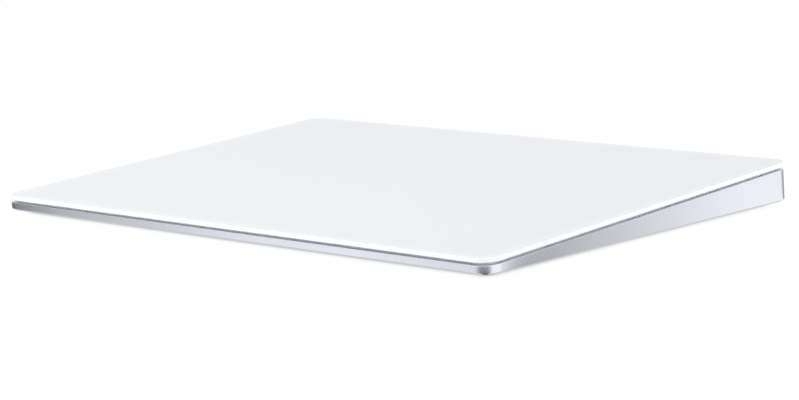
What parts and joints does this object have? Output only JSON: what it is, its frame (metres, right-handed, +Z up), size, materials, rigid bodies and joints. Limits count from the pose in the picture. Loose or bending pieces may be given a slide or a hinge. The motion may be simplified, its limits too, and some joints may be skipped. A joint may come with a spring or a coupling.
{
  "type": "trackpad",
  "caption": "Wedge-shaped wireless desk trackpad: a white glass plate on sprung leaves over a milled aluminium case with a rear charging port and switch.",
  "frame": {"origin": "middle of the object's box in plan, on the desk under the feet", "axes": "+X to the right along the width, +Y from the thin front edge to the thick rear edge, +Z up"},
  "size_m": [0.16, 0.1149, 0.0109],
  "materials": {
    "case_aluminium": "fine bead-blasted, anodised",
    "white_glass": "satin front, painted white behind",
    "bonding_film": "thin adhesive film",
    "circuit_board": "solder mask",
    "chip_black": "moulded epoxy",
    "frame_steel": "stamped sheet",
    "plated_magnet": "nickel plated",
    "screw_steel": "dark passivated",
    "copper_winding": "enamelled wire",
    "battery_wrap": "pouch film",
    "nickel_strip": "bare strip",
    "amber_flex": "flat cable film",
    "tinned_shield": "tinned sheet",
    "socket_plastic": "moulded",
    "port_steel": "drawn shell",
    "port_plastic": "moulded",
    "gold_contact": "gold plated",
    "antenna_ceramic": "glazed ceramic",
    "switch_green": "printed strip",
    "knob_aluminium": "fine bead-blasted, anodised",
    "foot_rubber": "matt moulded",
    "clear_gel": "soft silicone",
    "spring_steel": "rolled strip",
    "gauge_film": "foil on film"
  },
  "bodies": {
    "case": {"bottom_case": "case_aluminium", "leaf_screws": "screw_steel", "haptic_yoke": "frame_steel", "haptic_coil": "copper_winding", "haptic_screws": "screw_steel", "battery_cell": "battery_wrap", "battery_glue": "bonding_film", "battery_board": "circuit_board", "battery_tabs": "nickel_strip", "battery_flex": "amber_flex", "logic_board": "circuit_board", "logic_screws": "screw_steel", "processor_chip": "chip_black", "charger_chip": "chip_black", "radio_chip": "chip_black", "radio_shield": "tinned_shield", "board_sockets": "socket_plastic", "pad_flex": "amber_flex", "rear_flex": "amber_flex", "rear_board": "circuit_board", "rear_screws": "screw_steel", "port_shell": "port_steel", "port_tongue": "port_plastic", "port_contacts": "gold_contact", "antenna": "antenna_ceramic", "switch_body": "port_plastic", "switch_flag": "switch_green", "foot_front_left": "foot_rubber", "leaf_front_left": "spring_steel", "gauge_front_left": "gauge_film", "foot_front_right": "foot_rubber", "leaf_front_right": "spring_steel", "gauge_front_right": "gauge_film", "foot_rear_left": "foot_rubber", "leaf_rear_left": "spring_steel", "gauge_rear_left": "gauge_film", "foot_rear_right": "foot_rubber", "leaf_rear_right": "spring_steel", "gauge_rear_right": "gauge_film"},
    "gel_pads": {"gel_front_left": "clear_gel", "gel_front_right": "clear_gel", "gel_rear_left": "clear_gel", "gel_rear_right": "clear_gel"},
    "pad": {"glass_plate": "white_glass", "glass_film": "bonding_film", "touch_sensor_board": "circuit_board", "touch_controller": "chip_black", "pad_stiffener": "frame_steel", "magnet_carrier": "frame_steel", "haptic_magnets": "plated_magnet"},
    "power_switch": {"switch_knob": "knob_aluminium"}
  },
  "joints": [
    {"name": "pad_press", "type": "slide", "parent": "case", "child": "gel_pads", "axis": [0, 0.0524, -0.9986], "range_m": [0, 0.0002], "stiffness_N_per_m": 15000, "springref_m": -0.00015, "deforming": ["leaf_front_left", "leaf_front_right", "leaf_rear_left", "leaf_rear_right", "gauge_front_left", "gauge_front_right", "gauge_rear_left", "gauge_rear_right", "pad_flex"]},
    {"name": "haptic_shift", "type": "slide", "parent": "gel_pads", "child": "pad", "axis": [1, 0, 0], "range_m": [-0.0001, 0.0001], "stiffness_N_per_m": 20000},
    {"name": "switch_slide", "type": "slide", "parent": "case", "child": "power_switch", "axis": [1, 0, 0], "range_m": [0, 0.0024]}
  ]
}
